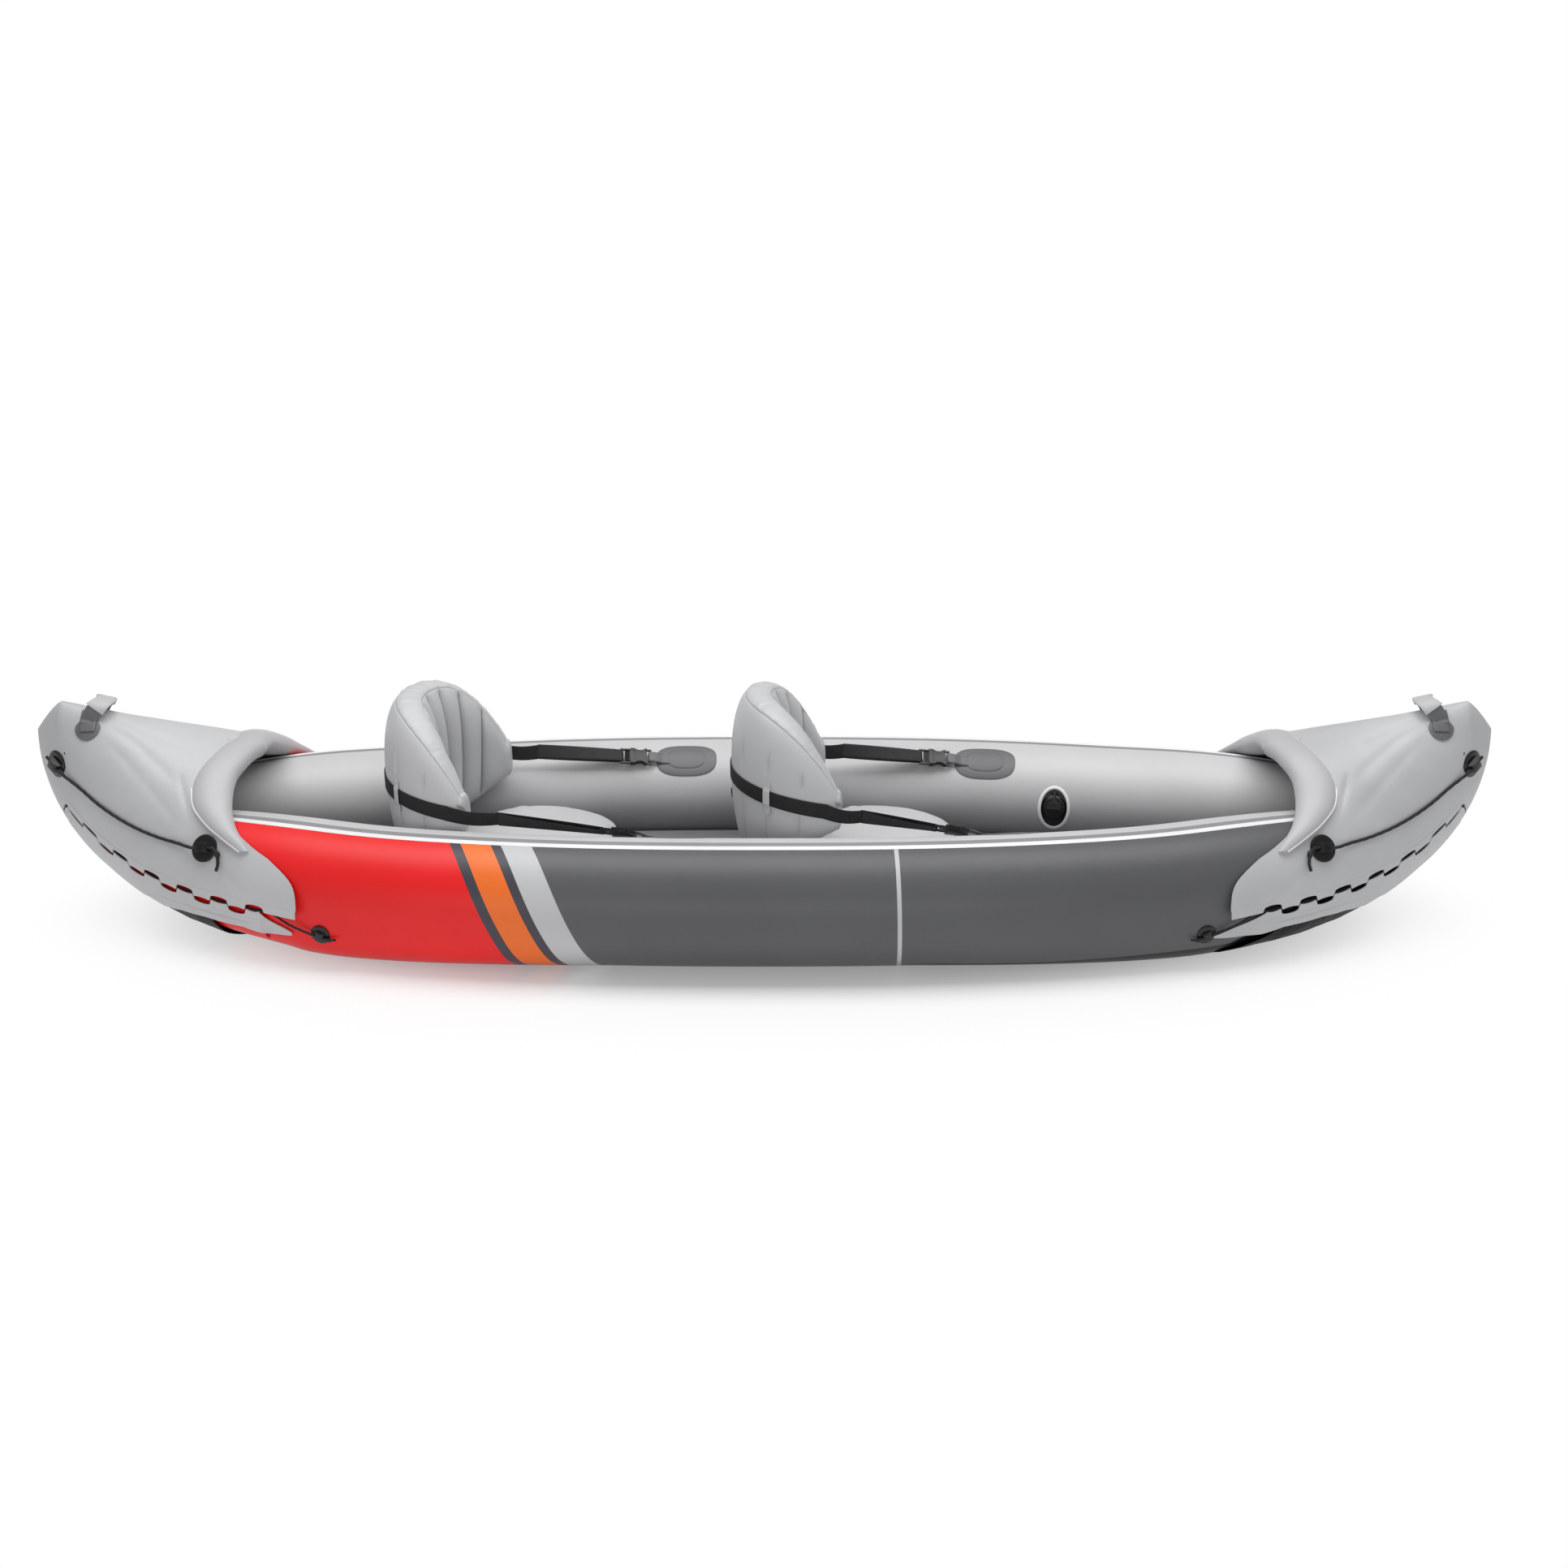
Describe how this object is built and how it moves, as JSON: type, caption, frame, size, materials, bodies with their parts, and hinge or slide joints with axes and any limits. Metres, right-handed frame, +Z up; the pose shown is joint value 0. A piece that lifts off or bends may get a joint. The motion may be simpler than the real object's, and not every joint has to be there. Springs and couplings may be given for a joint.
{
  "type": "inflatable tandem kayak",
  "caption": "Inflatable open-cockpit kayak with tube sides, inflated floor, laced spray covers, strapped backrests with side-release buckles, grab lines and screw-cap air valves.",
  "frame": {"origin": "centre of the boat's outline, on the ground under the bottom panel", "axes": "+X towards the bow, +Y to port, +Z up"},
  "size_m": [3.12, 0.91, 0.481],
  "materials": {
    "hull_light": "smooth coated fabric, light grey",
    "hull_colour": "smooth coated fabric, red and dark grey with stripes",
    "seam": "welded strip, pale grey",
    "panel": "ribbed bottom skin, near black",
    "cover": "coated cover cloth, mid grey",
    "rim": "inflated vinyl, light grey",
    "seat": "inflated vinyl, light grey",
    "webbing": "woven webbing, black",
    "rope": "laid rope, black",
    "patch": "welded patch, dark grey",
    "fitting": "moulded plastic, black",
    "grip": "soft sleeve, light grey",
    "flap": "thin rubber disc"
  },
  "bodies": {
    "hull": {"side_chamber_port": "hull_colour", "side_chamber_starboard": "hull_colour", "gunwale_seams": "seam", "floor_cells": "hull_light", "floor_webs": "hull_light", "bottom_panel": "panel", "bow_cover": "cover", "stern_cover": "cover", "bow_rim": "rim", "stern_rim": "rim", "bow_keel_wrap": "cover", "stern_keel_wrap": "cover", "bow_lacing": "rope", "stern_lacing": "rope", "grab_line_bow_port": "rope", "grab_line_bow_starboard": "rope", "grab_line_stern_port": "rope", "grab_line_stern_starboard": "rope", "nose_eyelets": "fitting", "side_eyelets": "fitting", "lacing_eyelets": "fitting", "handle_patches": "patch", "bow_handle_strap": "webbing", "stern_handle_strap": "webbing", "bow_handle_grip": "grip", "stern_handle_grip": "grip", "strap_patches": "patch", "patch_tabs": "webbing", "buckle_sockets": "fitting", "rear_strap_port": "webbing", "rear_strap_starboard": "webbing", "front_strap_port": "webbing", "front_strap_starboard": "webbing", "rear_cushion": "seat", "front_cushion": "seat", "valve_bases": "fitting", "valve_inserts": "fitting", "valve_flaps": "flap", "rim_valves": "patch"},
    "rear_seat_back": {"rear_backrest": "seat", "rear_back_strap": "webbing", "rear_keepers": "seat", "backrest_valve_rear": "patch"},
    "front_seat_back": {"front_backrest": "seat", "front_back_strap": "webbing", "front_keepers": "seat", "backrest_valve_front": "patch"},
    "rear_plug_port_body": {"rear_plug_port": "fitting"},
    "rear_plug_starboard_body": {"rear_plug_starboard": "fitting"},
    "front_plug_port_body": {"front_plug_port": "fitting"},
    "front_plug_starboard_body": {"front_plug_starboard": "fitting"},
    "port_valve_leash_body": {"port_valve_leash": "fitting"},
    "starboard_valve_leash_body": {"starboard_valve_leash": "fitting"},
    "port_valve_cap_body": {"port_valve_cap": "fitting"},
    "starboard_valve_cap_body": {"starboard_valve_cap": "fitting"}
  },
  "joints": [
    {"name": "rear_backrest_recline", "type": "hinge", "parent": "hull", "child": "rear_seat_back", "pos_m": [-0.77925, 0.01219, 0.1258], "axis": [-0.1219, -0.9925, 0], "range_deg": [0, 25], "deforming": ["rear_strap_port", "rear_strap_starboard"]},
    {"name": "front_backrest_recline", "type": "hinge", "parent": "hull", "child": "front_seat_back", "pos_m": [-0.03962, -0.00872, 0.1258], "axis": [0.0872, -0.9962, 0], "range_deg": [0, 25], "deforming": ["front_strap_port", "front_strap_starboard"]},
    {"name": "rear_plug_port_release", "type": "slide", "parent": "hull", "child": "rear_plug_port_body", "axis": [-0.9867, -0.1312, 0.0963], "range_m": [0, 0.028]},
    {"name": "rear_plug_starboard_release", "type": "slide", "parent": "hull", "child": "rear_plug_starboard_body", "axis": [-0.993, 0.0826, 0.0846], "range_m": [0, 0.028]},
    {"name": "front_plug_port_release", "type": "slide", "parent": "hull", "child": "front_plug_port_body", "axis": [-0.9924, -0.0707, 0.1008], "range_m": [0, 0.028]},
    {"name": "front_plug_starboard_release", "type": "slide", "parent": "hull", "child": "front_plug_starboard_body", "axis": [-0.9875, 0.1099, 0.1126], "range_m": [0, 0.028]},
    {"name": "port_valve_leash_lift", "type": "slide", "parent": "hull", "child": "port_valve_leash_body", "axis": [-0.162, -0.9714, 0.1737], "range_m": [0, 0.0045]},
    {"name": "port_valve_cap_turn", "type": "hinge", "parent": "port_valve_leash_body", "child": "port_valve_cap_body", "pos_m": [0.65385, 0.15226, 0.15444], "axis": [-0.162, -0.9714, 0.1737], "range_deg": [0, 560]},
    {"name": "starboard_valve_leash_lift", "type": "slide", "parent": "hull", "child": "starboard_valve_leash_body", "axis": [-0.162, 0.9714, 0.1737], "range_m": [0, 0.0045]},
    {"name": "starboard_valve_cap_turn", "type": "hinge", "parent": "starboard_valve_leash_body", "child": "starboard_valve_cap_body", "pos_m": [0.65385, -0.15226, 0.15444], "axis": [-0.162, 0.9714, 0.1737], "range_deg": [0, 560]}
  ],
  "couplings": [
    {"joint": "port_valve_cap_turn", "follows": "port_valve_leash_lift", "rad_per_m": 2094.4},
    {"joint": "starboard_valve_cap_turn", "follows": "starboard_valve_leash_lift", "rad_per_m": 2094.4}
  ]
}
